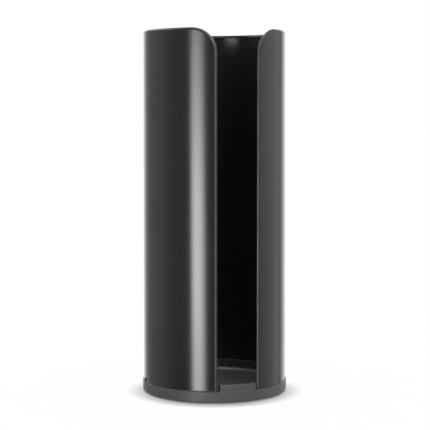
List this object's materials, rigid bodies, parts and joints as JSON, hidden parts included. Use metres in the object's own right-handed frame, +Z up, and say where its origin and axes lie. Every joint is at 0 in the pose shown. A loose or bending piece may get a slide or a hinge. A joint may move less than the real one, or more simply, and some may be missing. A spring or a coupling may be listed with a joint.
{
  "type": "free-standing toilet roll holder",
  "caption": "Tall rolled sheet-metal tube with a folded-edge slot down its front, standing in a moulded base with a raised tab, for storing stacked toilet rolls.",
  "frame": {"origin": "centre of the footprint on the floor, on the tube's axis", "axes": "+Z up along the tube's axis; the open slot faces -Y; +X is to the right when facing the slot"},
  "size_m": [0.138, 0.138, 0.343],
  "materials": {
    "powder_coat": "satin black powder coat",
    "moulded_base": "matte dark grey, fine moulded texture",
    "pad_rubber": "matte"
  },
  "bodies": {
    "root": {"tube": "powder_coat", "base": "moulded_base", "foot_pad_1": "pad_rubber", "foot_pad_2": "pad_rubber", "foot_pad_3": "pad_rubber", "foot_pad_4": "pad_rubber"}
  },
  "joints": []
}
